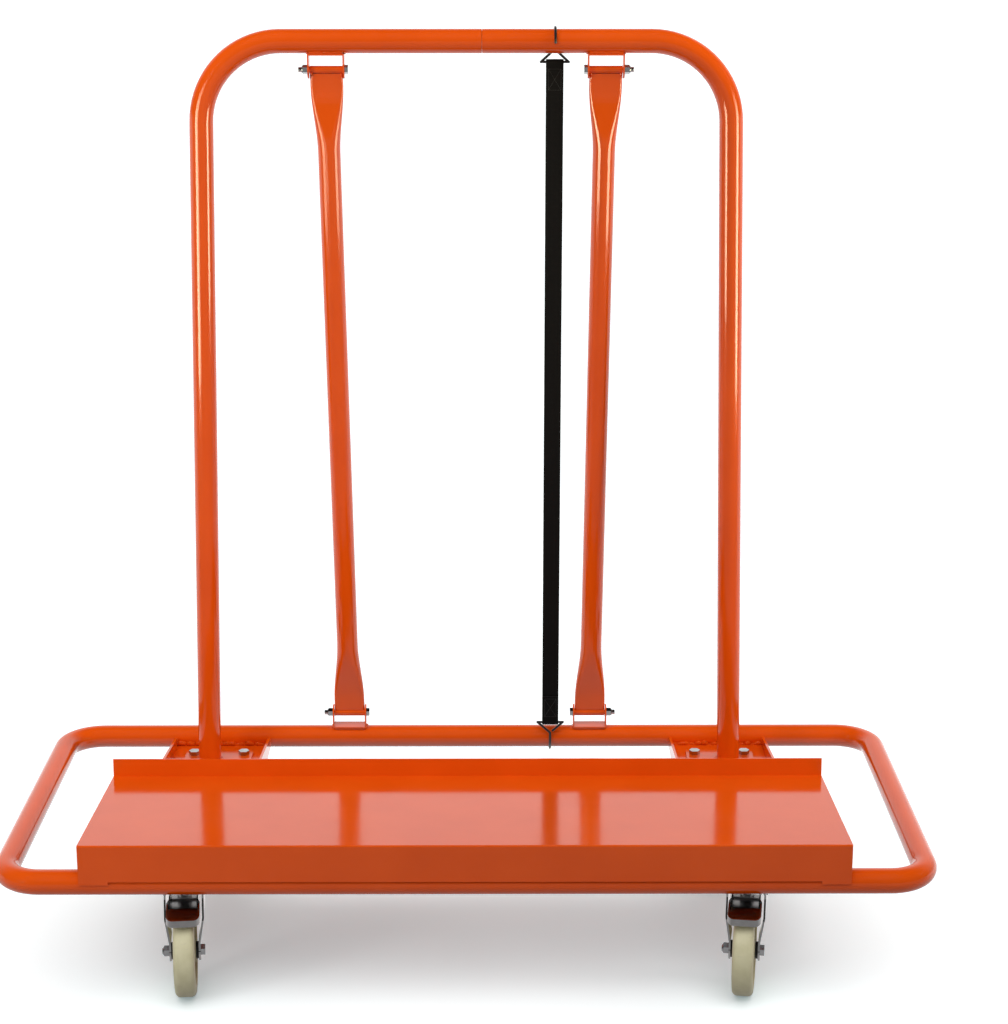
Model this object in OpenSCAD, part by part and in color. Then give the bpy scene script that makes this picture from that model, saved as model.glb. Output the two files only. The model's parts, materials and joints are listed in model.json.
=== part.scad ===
// Drywall cart: a tube base on four swivel casters, a tilted sheet deck, an upright tube frame in two
// halves, two rear braces with squashed ends, and a load strap stowed on the back of the frame.
// Millimetres. +Z is up, -Y is the loading side, and the casters stand on z = 0.

/* [Tubes] */
// Diameter of the base and frame tubes
tube_d = 38; // [34:0.5:42]
// Wall of the base and frame tubes
tube_wall = 1.5; // [1:0.1:2.5]

/* [Base] */
// Length of the base loop over its tube, along X
base_len = 1430; // [1340:5:1600]
// Width of the base loop over its tube, along Y
base_w = 646; // [620:2:720]
// Centreline radius of the base loop's corners
base_bend_r = 60; // [45:1:90]

/* [Cross channels] */
// Distance from the cart's middle to each channel, caster and upright
track_x = 430; // [400:1:450]
// Outside width of a cross channel
channel_w = 166; // [150:1:190]
// Thickness of the channel sheet
channel_t = 4; // [3:0.5:5]
// Depth of the channel's floor below the base tube's centre
floor_drop = 10.5; // [6:0.5:12]
// Height of the channel's side wall above its floor, at the rear tube
wall_rear_h = 14.5; // [10:0.5:18]

/* [Deck] */
// Length of the deck, along X
deck_len = 1148; // [1100:2:1180]
// Depth of the deck along its slope
deck_depth = 340; // [320:1:350]
// Thickness of the deck sheet
deck_t = 2.5; // [2:0.1:4]
// Slope of the deck, down to the rear
deck_tilt = 4.2; // [3:0.1:5]
// Height of the deck's front edge above the base tube's centre
deck_front_h = 67; // [62:0.5:72]
// Height of the front lip, which hangs over the front tube
front_lip_h = 63; // [52:0.5:66]
// Height of the rear lip, which stops the sheets
rear_lip_h = 31; // [20:0.5:40]
// Length of the deeper tab at each end of the front lip
lip_tab_len = 44; // [30:1:80]
// How much deeper the tabs reach
lip_tab_drop = 5; // [2:0.5:8]

/* [Upright frame] */
// Height of the top bar's centre above the base tube's centre
frame_h = 1200; // [1000:5:1300]
// Centreline radius of the frame's bends
frame_bend_r = 128; // [100:1:160]
// Place of the seam between the two frame halves, along X
seam_x = 25; // [0:1:60]
// Open seam between the two frame halves
seam_gap = 0.6; // [0.2:0.1:1.5]
// Length of the spigot inside the seam
spigot_len = 140; // [100:5:200]
// Wall of the spigot
spigot_wall = 2; // [1.5:0.1:3]
// Thickness of the upright's foot plate
foot_t = 5; // [4:0.5:8]
// Distance of the upright's foot from the plate's middle, away from the cart's middle
foot_out = 12; // [0:0.5:14]
// Lean of each upright towards the cart's middle, at the top
frame_lean = 1.2; // [0:0.1:1.5]

/* [Braces] */
// Diameter of the brace tubes
brace_d = 36; // [32:0.5:38]
// Distance from the cart's middle to a brace's top pivot
brace_top_x = 220; // [190:1:230]
// Distance from the cart's middle to a brace's bottom pivot
brace_bottom_x = 209; // [190:1:230]
// Thickness of a brace's squashed end
squash_t = 8; // [6:0.5:10]
// Length of the squashed end, from its bush
squash_len = 26; // [15:1:50]
// Length of the run from squashed to round
squash_run = 105; // [70:1:150]
// Outside diameter of the bush across a squashed end
bush_d = 12; // [11:0.5:14]
// Diameter of the pivot bolts
pivot_bolt_d = 8; // [6:1:8]
// Thickness of the bracket sheet
bracket_t = 2.5; // [2:0.1:4]
// Depth of a bracket along Y
bracket_depth = 28; // [24:1:34]
// Length of a bracket's ears
ear_len = 39; // [36:1:46]
// Distance from the tube to the pivot
pivot_h = 25; // [22:1:30]

/* [Casters] */
// Height of a caster, to the top of its plate
caster_h = 180; // [178:1:194]
// Diameter of a wheel
wheel_d = 140; // [126:1:140]
// Width of a wheel
wheel_w = 32; // [28:1:36]
// Radius of the wheel's tread edges
tread_r = 8; // [4:0.5:10]
// Distance from the swivel axis to the axle
trail = 42; // [36:1:46]
// Plate length, along X
plate_x = 114; // [108:1:124]
// Plate depth, along Y
plate_y = 100; // [96:1:104]
// Thickness of the plate
plate_t = 4; // [3:0.5:5]
// Spacing of the plate's bolts, along X
bolt_x = 85; // [82:1:94]
// Spacing of the plate's bolts, along Y
bolt_y = 64; // [62:1:74]
// Diameter of the plate bolts and axles
bolt_d = 10; // [8:1:10]
// Distance from the front tube's centre to the front swivel axes
front_inset = 68; // [68:1:90]
// Distance from the rear tube's centre to the rear swivel axes and uprights
rear_inset = 104; // [92:1:112]
// Thickness of the fork's sheet
fork_t = 3; // [2.5:0.1:4]
// Outside width of the fork at its shoulders
fork_w = 60; // [59:0.5:66]
// Balls in each swivel bearing
ball_count = 14; // [8:1:16]
// Diameter of the balls
ball_d = 6; // [5:0.5:6.5]

/* [Brake pedals] */
// Width of the pedal's pad
pedal_w = 50; // [48:1:54]
// Width of the pedal's neck
pedal_neck_w = 44; // [38:1:46]
// Reach of the level neck past the axle
pedal_level = 20; // [14:1:24]
// Reach of the sloping pad past the crease
pedal_pad_len = 34; // [28:1:38]
// Slope of the pad
pedal_slope = 20; // [12:1:22]
// Thickness of the pedal's sheet
pedal_t = 2.5; // [2:0.1:3]
// Height of the pedal's rim above its floor
pedal_rim_h = 8; // [5:0.5:10]

/* [Load strap] */
// Place of the strap, along X
strap_x = 140; // [60:1:145]
// Width of the webbing
strap_w = 28; // [20:1:30]
// Thickness of the webbing
strap_t = 2.2; // [1.5:0.1:3]
// Diameter of the hook wire
wire_d = 4; // [3:0.5:4.5]
// Height of the wire triangle that carries the webbing
triangle_h = 20; // [16:1:26]
// Length of webbing turned back and sewn at each end
sewn_len = 48; // [30:1:70]

/* [Hidden] */
$fn = 64;

// Colours
PAINT = [0.86, 0.27, 0.06];
ZINC = [0.78, 0.79, 0.80];
STEEL = [0.62, 0.63, 0.65];
NYLON = [0.86, 0.83, 0.70];
BLACK = [0.05, 0.05, 0.05];

// Clearances
seat = 0.05;       // faces of one body that touch
gap = 0.3;         // pieces of one body that rest against each other, and bodies that pass each other
running = 0.05;    // radial play of a turning fit
cut = 1;           // how far a cutting solid runs past the face it cuts

// Rest angles of the casters
FRONT_YAW_L = 5.5;
FRONT_YAW_R = -9;
REAR_YAW_L = -6;
REAR_YAW_R = 10;

// How far a turned wheel reaches from its swivel axis
wheel_r = wheel_d / 2;
function wheel_reach(yaw) =
    (trail + wheel_r - tread_r) * cos(yaw) + (wheel_w / 2 - tread_r) * abs(sin(yaw)) + tread_r;

// Base
tube_r = tube_d / 2;
half_len = (base_len - tube_d) / 2;
half_w = (base_w - tube_d) / 2;
floor_z = caster_h + channel_t;
base_z = floor_z + floor_drop;
wire_r = wire_d / 2;
hook_r = tube_r + gap + wire_r;
front_reach = half_w - front_inset + max(wheel_reach(FRONT_YAW_L), wheel_reach(FRONT_YAW_R));
rear_reach = half_w + hook_r + wire_r;
mid_y = (front_reach - rear_reach) / 2;
front_y = mid_y - half_w;
rear_y = mid_y + half_w;
floor_half = half_w - sqrt(tube_r * tube_r - floor_drop * floor_drop) - seat;
wall_half = half_w - tube_r - seat;

// Deck: the bend centres at its front and rear edges, in Y and Z
deck_bend_y = front_y - tube_r - gap;
deck_bend_z = base_z + deck_front_h - deck_t;
deck_end = deck_depth - 2 * deck_t;
deck_rear_y = deck_bend_y + deck_end * cos(deck_tilt);
function under_deck(y) = deck_bend_z - (y - deck_bend_y) * tan(deck_tilt);

// Upright frame
frame_y = rear_y - rear_inset;
top_z = base_z + frame_h;
foot_z = floor_z + foot_t;
bore_d = tube_d - 2 * tube_wall;
bend_z = top_z - frame_bend_r;
leg_len = (bend_z + frame_bend_r * sin(frame_lean) - foot_z) / cos(frame_lean);
bend_x = frame_bend_r * cos(frame_lean) + leg_len * sin(frame_lean);

// Braces
brace_r = brace_d / 2;
squash_w = squash_t + PI * (brace_r - squash_t / 2);
bush_len = squash_w + 0.4;
bracket_in = bush_len + 2 * gap;
bracket_w = bracket_in + 2 * bracket_t;
pivot_top_z = top_z - tube_r - pivot_h;
pivot_rear_z = base_z + tube_r + pivot_h;
BRACE_SIDES = 28;
BRACE_STEPS = 12;
pivot_head_h = 5.3;
pivot_nut_h = 8;
pivot_stub = 7;
function hex_af(d) = 1.5 * d + 1;

// Casters: place of the swivel axis and rest angle of each, front pair first
CASTER_FL = [-track_x, front_y + front_inset, FRONT_YAW_L];
CASTER_FR = [track_x, front_y + front_inset, FRONT_YAW_R];
CASTER_RL = [-track_x, frame_y, REAR_YAW_L];
CASTER_RR = [track_x, frame_y, REAR_YAW_R];
CASTERS = [CASTER_FL, CASTER_FR, CASTER_RL, CASTER_RR];
axle_r = bolt_d / 2;
sleeve_r = axle_r + 2.5;
disc_t = 4;
disc_r = 13;
leg_in = wheel_w / 2 + disc_t + 2 * gap;
leg_out = leg_in + fork_t;
shoulder_z = wheel_d - 15;
waist_z = wheel_r + 17;
race_z = caster_h - plate_t - 6;
head_gap = 0.4;
head_z = race_z - head_gap;
fork_top_z = race_z - 5;
head_r = 33;
ball_ring_r = 24;
kingpin_r = 6;
kingpin_head_r = 9;
kingpin_nut_h = 8;
bolt_head_h = 6.5;
bolt_nut_h = 8;
bolt_stub = 3;

// Brake pedals: pivot in the caster's frame, and the crease and back edge from the pivot
pedal_y = -16;
pedal_z = wheel_d + 15;
pedal_drop = 9.6;
pedal_pin_r = 3;
pedal_crease = -(trail + pedal_level) - pedal_y;
pedal_front = pedal_crease - pedal_pad_len;
pedal_back = 4;
pedal_corner = 10;

// Load strap: a line that touches the back of the top bar and the front of the rear tube
strap_run = norm([rear_y - frame_y, frame_h]);
strap_lean = atan2(rear_y - frame_y, frame_h) - asin(2 * hook_r / strap_run);
strap_len = sqrt(strap_run * strap_run - 4 * hook_r * hook_r);
hook_leg = 15;
webbing_top = -hook_leg - triangle_h;
webbing_bottom = -strap_len - webbing_top;
triangle_x = strap_w / 2 + 4 * wire_r;

// Shared forms

module rounded_rect(w, h, r) {
    square([w - 2 * r, h], center = true);
    square([w, h - 2 * r], center = true);
    for (x = [-1, 1], y = [-1, 1])
        translate([x * (w / 2 - r), y * (h / 2 - r)])
            circle(r);
}

module along_x(h, d) {
    rotate([0, 90, 0])
        cylinder(h = h, d = d, center = true);
}

module rod(from, to, r) {
    run = to - from;
    translate(from)
        rotate([0, acos(run.z / norm(run)), atan2(run.y, run.x)])
            cylinder(h = norm(run), r = r);
}

module hex(af, h) {
    cylinder(h = h, d = af / cos(30), $fn = 6);
}

// A bolt on its own axis: the head above z = 0, the shank below
module hex_bolt(d, shank, head_h) {
    hex(hex_af(d), head_h);
    translate([0, 0, -shank])
        cylinder(h = shank + head_h / 2, d = d);
}

module hex_nut(d, h) {
    difference() {
        hex(hex_af(d), h);
        translate([0, 0, -cut])
            cylinder(h = h + 2 * cut, d = d + 2 * running);
    }
}

module plate_holes(h) {
    for (x = [-1, 1], y = [-1, 1])
        translate([x * bolt_x / 2, y * bolt_y / 2, -cut])
            cylinder(h = h + 2 * cut, d = bolt_d + 0.5);
}

// Sides: -1 is left, 1 is right
module on_side(side) {
    mirror([side < 0 ? 1 : 0, 0, 0])
        children();
}

module at_caster(c) {
    translate([c.x, c.y, 0])
        rotate([0, 0, c.z])
            children();
}

// Base

module loop_solid(d) {
    run_x = half_len - base_bend_r;
    run_y = half_w - base_bend_r;
    for (side = [-1, 1]) {
        translate([0, side * half_w, 0])
            along_x(2 * run_x, d);
        translate([side * half_len, 0, 0])
            rotate([90, 0, 0])
                cylinder(h = 2 * run_y, d = d, center = true);
    }
    for (corner = [[1, 1, 0], [-1, 1, 90], [-1, -1, 180], [1, -1, 270]])
        translate([corner.x * run_x, corner.y * run_y, 0])
            rotate([0, 0, corner.z])
                rotate_extrude(angle = 90)
                    translate([base_bend_r, 0])
                        circle(d = d);
}

module base_loop() {
    color(PAINT)
        translate([0, mid_y, base_z])
            difference() {
                loop_solid(tube_d);
                loop_solid(bore_d);
            }
}

module channel_wall() {
    bottom = floor_z - channel_t;
    front = mid_y - wall_half;
    rear = mid_y + wall_half;
    outline = [
        [front, bottom],
        [rear, bottom],
        [rear, floor_z + wall_rear_h],
        [deck_rear_y, under_deck(deck_rear_y) - seat],
        [front, under_deck(front) - seat]
    ];
    rotate([90, 0, 90])
        linear_extrude(channel_t, center = true)
            polygon(outline);
}

module cross_channel(side) {
    color(PAINT)
        translate([side * track_x, 0, 0])
            difference() {
                union() {
                    translate([-channel_w / 2, mid_y - floor_half, floor_z - channel_t])
                        cube([channel_w, 2 * floor_half, channel_t]);
                    for (edge = [-1, 1])
                        translate([edge * (channel_w - channel_t) / 2, 0, 0])
                            channel_wall();
                }
                for (y = [front_y + front_inset, frame_y])
                    translate([0, y, floor_z - channel_t])
                        plate_holes(channel_t);
            }
}

// The sheet's section, in Y and Z: each bend is a round of the sheet's own thickness
module deck_section() {
    translate([deck_bend_y, deck_bend_z]) {
        circle(deck_t);
        translate([-deck_t, -front_lip_h + deck_t])
            square([deck_t, front_lip_h - deck_t]);
        rotate(-deck_tilt) {
            square([deck_end, deck_t]);
            translate([deck_end, deck_t]) {
                intersection() {
                    circle(deck_t);
                    translate([0, -deck_t])
                        square(deck_t);
                }
                square([deck_t, rear_lip_h - deck_t]);
            }
        }
    }
}

module deck() {
    lip_bottom = deck_bend_z + deck_t - front_lip_h;
    color(PAINT)
        difference() {
            rotate([90, 0, 90])
                linear_extrude(deck_len, center = true)
                    deck_section();
            translate([-deck_len / 2 + lip_tab_len, deck_bend_y - deck_t - cut, lip_bottom - cut])
                cube([deck_len - 2 * lip_tab_len, deck_t + 2 * cut, lip_tab_drop + cut]);
        }
}

// Upright frame

// One half of the frame: its foot is on the Z axis and its top bar runs towards +X
module frame_top(d, reach, over) {
    translate([bend_x, 0, bend_z])
        rotate([90, 0, 0])
            rotate(90)
                rotate_extrude(angle = 90 - frame_lean + over)
                    translate([frame_bend_r, 0])
                        circle(d = d);
    translate([bend_x, 0, top_z])
        rotate([0, 90, 0])
            cylinder(h = reach - bend_x + over, d = d);
}

// The straight leg is welded to the bend, a seat below it
module frame_leg(d, over) {
    translate([0, 0, foot_z])
        rotate([0, frame_lean, 0])
            translate([0, 0, -tube_d])
                cylinder(h = tube_d + leg_len - seat + over, d = d);
}

module upright(side) {
    foot_x = track_x + foot_out;
    reach = foot_x - side * seam_x - seam_gap / 2;
    color(PAINT)
        mirror([side > 0 ? 1 : 0, 0, 0])
            translate([-foot_x, frame_y, 0]) {
                difference() {
                    frame_top(tube_d, reach, 0);
                    frame_top(bore_d, reach, cut);
                }
                difference() {
                    frame_leg(tube_d, 0);
                    frame_leg(bore_d, cut);
                    translate([-tube_d, -tube_d, foot_z - 2 * tube_d])
                        cube(2 * tube_d);
                }
            }
}

module frame_spigot() {
    spigot_d = bore_d - 2 * seat;
    color(STEEL)
        translate([seam_x, frame_y, top_z])
            difference() {
                along_x(spigot_len, spigot_d);
                along_x(spigot_len + 2 * cut, spigot_d - 2 * spigot_wall);
            }
}

module foot_plate(side) {
    color(PAINT)
        translate([side * track_x, frame_y, floor_z])
            difference() {
                linear_extrude(foot_t)
                    rounded_rect(plate_x, plate_y, 8);
                plate_holes(foot_t);
            }
}

// Braces

// A bent sheet bracket: its back on z = 0, its ears up
module bracket() {
    ear_r = bracket_depth / 2;
    difference() {
        union() {
            translate([-bracket_w / 2, -ear_r, 0])
                cube([bracket_w, bracket_depth, bracket_t]);
            for (edge = [-1, 1])
                translate([edge * (bracket_w - bracket_t) / 2, 0, 0])
                    rotate([90, 0, 90])
                        linear_extrude(bracket_t, center = true) {
                            translate([-ear_r, 0])
                                square([bracket_depth, ear_len - ear_r]);
                            translate([0, ear_len - ear_r])
                                circle(ear_r);
                        }
        }
        translate([0, 0, pivot_h])
            along_x(bracket_w + 2 * cut, pivot_bolt_d + 0.4);
    }
}

module top_bracket(side) {
    color(PAINT)
        translate([side * brace_top_x, frame_y, top_z - tube_r - seat])
            rotate([180, 0, 0])
                bracket();
}

module rear_bracket(side) {
    color(PAINT)
        translate([side * brace_bottom_x, rear_y, base_z + tube_r + seat])
            bracket();
}

function brace_top(side) = [side * brace_top_x, frame_y, pivot_top_z - seat];
function brace_bottom(side) = [side * brace_bottom_x, rear_y, pivot_rear_z + seat];
function smooth(t) = t * t * (3 - 2 * t);

// Half thickness of the tube at a distance from its nearer end: squashed, then swelling to round
function brace_half_t(s) =
    let (t = min(1, max(0, (s - squash_len) / squash_run)))
    squash_t / 2 + (brace_r - squash_t / 2) * smooth(t);

// One ring of the tube: two half rounds and the flats between them, all with the tube's girth
function brace_ring(centre, half_t, normal) =
    let (flat = (brace_r - half_t) * PI / 2)
    [for (i = [0 : BRACE_SIDES - 1])
        let (a = 360 * (i + 0.5) / BRACE_SIDES)
        centre + [sign(cos(a)) * flat + half_t * cos(a), 0, 0] + half_t * sin(a) * normal];

module brace(side) {
    top = brace_top(side);
    bottom = brace_bottom(side);
    length = norm(top - bottom);
    axis = (top - bottom) / length;
    normal = [0, axis.z, -axis.y] / norm([axis.y, axis.z]);
    first = bush_d / 2 + seat;
    swell = [for (i = [0 : BRACE_STEPS]) squash_len + squash_run * i / BRACE_STEPS];
    stations = concat([first], swell, [for (i = [BRACE_STEPS : -1 : 0]) length - swell[i]], [length - first]);
    rings = [for (s = stations) brace_ring(bottom + s * axis, brace_half_t(min(s, length - s)), normal)];
    last = len(stations) - 1;
    faces = concat(
        [[for (i = [0 : BRACE_SIDES - 1]) i]],
        [for (k = [0 : last - 1], i = [0 : BRACE_SIDES - 1])
            let (n = (i + 1) % BRACE_SIDES, a = k * BRACE_SIDES, b = a + BRACE_SIDES)
            [a + i, b + i, b + n, a + n]],
        [[for (i = [BRACE_SIDES - 1 : -1 : 0]) last * BRACE_SIDES + i]]
    );
    color(PAINT)
        polyhedron(points = [for (ring = rings) each ring], faces = faces, convexity = 4);
}

module at_pivots() {
    for (side = [-1, 1], end = [brace_top(side), brace_bottom(side)])
        translate(end)
            on_side(side)
                children();
}

module brace_bushes() {
    color(PAINT)
        at_pivots()
            difference() {
                along_x(bush_len, bush_d);
                along_x(bush_len + 2 * cut, pivot_bolt_d + 2 * running);
            }
}

// The bolts' heads face the cart's middle and their nuts face outwards
module pivot_bolts() {
    color(ZINC)
        at_pivots()
            translate([-bracket_w / 2 - seat, 0, 0])
                rotate([0, -90, 0])
                    hex_bolt(pivot_bolt_d, bracket_w + pivot_nut_h + pivot_stub, pivot_head_h);
}

module pivot_nuts() {
    color(ZINC)
        at_pivots()
            translate([bracket_w / 2 + seat, 0, 0])
                rotate([0, 90, 0])
                    hex_nut(pivot_bolt_d, pivot_nut_h);
}

// Casters

module at_plate_bolts() {
    for (c = CASTERS, x = [-1, 1], y = [-1, 1])
        translate([c.x + x * bolt_x / 2, c.y + y * bolt_y / 2, 0])
            let ($seat_z = c.y > mid_y ? foot_z : floor_z)
                children();
}

module plate_bolts() {
    under = caster_h - plate_t - bolt_nut_h - bolt_stub;
    color(ZINC)
        at_plate_bolts()
            translate([0, 0, $seat_z + seat])
                hex_bolt(bolt_d, $seat_z + seat - under, bolt_head_h);
}

module plate_nuts() {
    color(ZINC)
        at_plate_bolts()
            translate([0, 0, caster_h - plate_t - seat - bolt_nut_h])
                hex_nut(bolt_d, bolt_nut_h);
}

module ball_groove() {
    translate([0, 0, race_z - head_gap / 2])
        rotate_extrude()
            translate([ball_ring_r, 0])
                circle(d = ball_d + 2 * gap);
}

module caster_plate(c) {
    color(ZINC)
        translate([c.x, c.y, 0])
            difference() {
                union() {
                    translate([0, 0, caster_h - plate_t])
                        linear_extrude(plate_t)
                            rounded_rect(plate_x, plate_y, 10);
                    translate([0, 0, race_z])
                        cylinder(h = caster_h - plate_t - race_z + plate_t / 2, r = head_r);
                }
                translate([0, 0, caster_h - plate_t])
                    plate_holes(plate_t);
                translate([0, 0, caster_h - plate_t])
                    cylinder(h = plate_t + cut, r = kingpin_head_r + running);
                translate([0, 0, race_z - cut])
                    cylinder(h = caster_h, r = kingpin_r + running);
                ball_groove();
            }
}

module kingpins() {
    bottom = fork_top_z - fork_t - gap - kingpin_nut_h - 2;
    color(STEEL)
        for (c = CASTERS)
            translate([c.x, c.y, 0]) {
                translate([0, 0, bottom])
                    cylinder(h = caster_h - plate_t + seat - bottom, r = kingpin_r);
                translate([0, 0, caster_h - plate_t + seat])
                    cylinder(h = plate_t - 2 * seat, r = kingpin_head_r);
                translate([0, 0, bottom + 2])
                    hex(hex_af(2 * kingpin_r), kingpin_nut_h);
            }
}

module swivel_balls() {
    color(STEEL)
        for (c = CASTERS, i = [0 : ball_count - 1])
            translate([c.x, c.y, race_z - head_gap / 2])
                rotate(360 * i / ball_count)
                    translate([ball_ring_r, 0, 0])
                        sphere(d = ball_d);
}

// The fork seen from the front: wide shoulders that draw in to the legs
module fork_front(inset) {
    shoulder = fork_w / 2 - inset;
    leg = leg_out - inset;
    top = fork_top_z - inset;
    corner = 10 - inset;
    bottom = wheel_r - disc_r - 3 - inset;
    translate([0, (top + shoulder_z) / 2])
        rounded_rect(2 * shoulder, top - shoulder_z, corner);
    translate([-shoulder, shoulder_z])
        square([2 * shoulder, top - shoulder_z - corner]);
    polygon([[-shoulder, shoulder_z], [shoulder, shoulder_z], [leg, waist_z], [-leg, waist_z]]);
    translate([-leg, bottom])
        square([2 * leg, waist_z - bottom]);
}

// The fork seen from the side: legs that sweep from the head to the axle
module fork_side() {
    eye_r = disc_r + 3;
    translate([-trail, wheel_r])
        circle(eye_r);
    polygon([
        [head_r, fork_top_z + cut],
        [head_r, fork_top_z - 7],
        [head_r - 14, shoulder_z + 4],
        [eye_r - trail, wheel_r],
        [-eye_r - trail, wheel_r],
        [-head_r - 17, shoulder_z - 4],
        [-head_r - 2, fork_top_z - 14],
        [-head_r, fork_top_z + cut]
    ]);
}

module fork_solid(braked) {
    difference() {
        union() {
            intersection() {
                rotate([90, 0, 0])
                    linear_extrude(4 * wheel_d, center = true)
                        difference() {
                            fork_front(0);
                            fork_front(fork_t);
                        }
                rotate([90, 0, 90])
                    linear_extrude(2 * fork_w, center = true)
                        fork_side();
            }
            translate([0, 0, fork_top_z - fork_t])
                cylinder(h = head_z - fork_top_z + fork_t, r = head_r);
        }
        translate([0, -trail, wheel_r])
            along_x(2 * fork_w, bolt_d + 2 * running);
        translate([0, 0, fork_top_z - fork_t - cut])
            cylinder(h = 3 * cut + head_z, r = kingpin_r + running);
        ball_groove();
        if (braked)
            translate([0, pedal_y, pedal_z])
                along_x(2 * fork_w, 2 * (pedal_pin_r + running));
    }
}

module fork(c, braked) {
    color(ZINC)
        at_caster(c)
            fork_solid(braked);
}

// Half of the wheel's section: a hub, a thinner web and a rim with round tread edges
module wheel_section() {
    bore_r = sleeve_r + running;
    hub_r = sleeve_r + 10;
    rim_in = wheel_r - 16;
    edge = wheel_w / 2 - tread_r;
    translate([bore_r, -wheel_w / 2])
        square([hub_r - bore_r, wheel_w]);
    translate([bore_r, -wheel_w / 4])
        square([rim_in - bore_r + 1, wheel_w / 2]);
    translate([rim_in, -wheel_w / 2])
        square([wheel_r - tread_r - rim_in, wheel_w]);
    translate([rim_in, -edge])
        square([wheel_r - rim_in, 2 * edge]);
    for (side = [-1, 1])
        translate([wheel_r - tread_r, side * edge])
            circle(tread_r);
}

module on_axle(c) {
    at_caster(c)
        translate([0, -trail, wheel_r])
            rotate([0, 90, 0])
                children();
}

module wheel(c) {
    color(NYLON)
        on_axle(c)
            rotate_extrude()
                wheel_section();
}

module ring(h, outer_r, inner_r) {
    difference() {
        cylinder(h = h, r = outer_r, center = true);
        cylinder(h = h + 2 * cut, r = inner_r, center = true);
    }
}

module wheel_bush(c) {
    color(STEEL)
        on_axle(c)
            ring(2 * (leg_in - seat), sleeve_r, axle_r + running);
}

module hub_discs(c) {
    color(BLACK)
        on_axle(c)
            for (side = [-1, 1])
                translate([0, 0, side * (leg_in - seat - disc_t / 2)])
                    ring(disc_t, disc_r, sleeve_r + running);
}

// The axle bolt's head is on the caster's right and its nut on the left
module axle(c) {
    color(ZINC)
        on_axle(c) {
            translate([0, 0, leg_out + seat])
                hex_bolt(bolt_d, 2 * leg_out + bolt_nut_h + bolt_stub, bolt_head_h);
            translate([0, 0, -leg_out - seat - bolt_nut_h])
                hex_nut(bolt_d, bolt_nut_h);
        }
}

// The pedal from above: a neck that widens to a pad with round front corners
module pedal_outline(inset, over) {
    neck = pedal_neck_w / 2 - inset;
    pad = pedal_w / 2 - inset;
    corner = pedal_corner - inset;
    front = pedal_front + inset;
    flare = pedal_crease + 4;
    waist = flare + 12;
    polygon([
        [-neck, pedal_back + over], [neck, pedal_back + over], [neck, waist], [pad, flare],
        [pad, front + corner], [-pad, front + corner], [-pad, flare], [-neck, waist]
    ]);
    translate([corner - pad, front])
        square([2 * (pad - corner), corner + 1]);
    for (side = [-1, 1])
        translate([side * (pad - corner), front + corner])
            circle(corner);
}

// The pedal from the side: level to the crease, then sloping down
module pedal_band(lift, height) {
    back = pedal_back + pedal_corner;
    front = pedal_front - cut;
    fall = (pedal_crease - front) * tan(pedal_slope);
    polygon([
        [back, lift], [pedal_crease, lift], [front, lift - fall],
        [front, lift - fall + height], [pedal_crease, lift + height], [back, lift + height]
    ]);
}

module pedal_form(inset, over, height) {
    intersection() {
        translate([0, 0, -2 * pedal_w])
            linear_extrude(4 * pedal_w)
                pedal_outline(inset, over);
        rotate([90, 0, 90])
            linear_extrude(2 * pedal_w, center = true)
                pedal_band(inset - pedal_drop, height);
    }
}

module pedal_solid() {
    depth = pedal_t + pedal_rim_h;
    ear_x = (pedal_neck_w - pedal_t) / 2;
    difference() {
        union() {
            difference() {
                pedal_form(0, 0, depth);
                pedal_form(pedal_t, cut, 2 * depth);
            }
            for (side = [-1, 1])
                translate([side * ear_x, 0, 0])
                    along_x(pedal_t + 1, 2 * (pedal_pin_r + 2.5));
        }
        along_x(2 * pedal_w, 2 * (pedal_pin_r + running));
    }
}

module brake_pedal(c) {
    color(ZINC)
        at_caster(c)
            translate([0, pedal_y, pedal_z])
                pedal_solid();
}

// A headed pin across the fork's shoulders
module pedal_pin(c) {
    head_t = 2;
    color(STEEL)
        at_caster(c)
            translate([0, pedal_y, pedal_z]) {
                along_x(fork_w + 2 * head_t, 2 * pedal_pin_r);
                for (side = [-1, 1])
                    translate([side * (fork_w / 2 + seat + head_t / 2), 0, 0])
                        along_x(head_t, 2 * (pedal_pin_r + 2));
            }
}

// Load strap, drawn along the line between its hooks: the top bar's axis is the origin

module at_strap() {
    translate([strap_x, frame_y, top_z])
        rotate([strap_lean, 0, 0])
            children();
}

module strap_webbing() {
    loop_r = wire_r + gap;
    color(BLACK)
        at_strap()
            translate([0, hook_r, 0])
                rotate([90, 0, 90])
                    linear_extrude(strap_w, center = true)
                        difference() {
                            union() {
                                for (z = [webbing_top, webbing_bottom])
                                    translate([0, z])
                                        circle(loop_r + strap_t);
                                translate([-strap_t / 2, webbing_bottom])
                                    square([strap_t, webbing_top - webbing_bottom]);
                                translate([-strap_t, webbing_top - sewn_len])
                                    square([2 * strap_t, sewn_len]);
                                translate([-strap_t, webbing_bottom])
                                    square([2 * strap_t, sewn_len]);
                            }
                            for (z = [webbing_top, webbing_bottom])
                                translate([0, z])
                                    circle(loop_r);
                        }
}

// One bent wire: a hook over the tube, a leg, and an open triangle through the webbing's loop
module strap_hook() {
    apex = [0, hook_r, -hook_leg];
    left = [-triangle_x, hook_r, webbing_top];
    right = [triangle_x, hook_r, webbing_top];
    free_end = right + 0.8 * (apex - right);
    rotate([90, 0, 90])
        rotate_extrude(angle = 180)
            translate([hook_r, 0])
                circle(wire_r);
    rod([0, hook_r, 0], apex, wire_r);
    rod(apex, left, wire_r);
    rod(left, right, wire_r);
    rod(right, free_end, wire_r);
    for (bend = [apex, left, right, free_end, [0, -hook_r, 0]])
        translate(bend)
            sphere(wire_r + seat, $fn = 20);
}

module strap_hook_top() {
    color(BLACK)
        at_strap()
            strap_hook();
}

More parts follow.
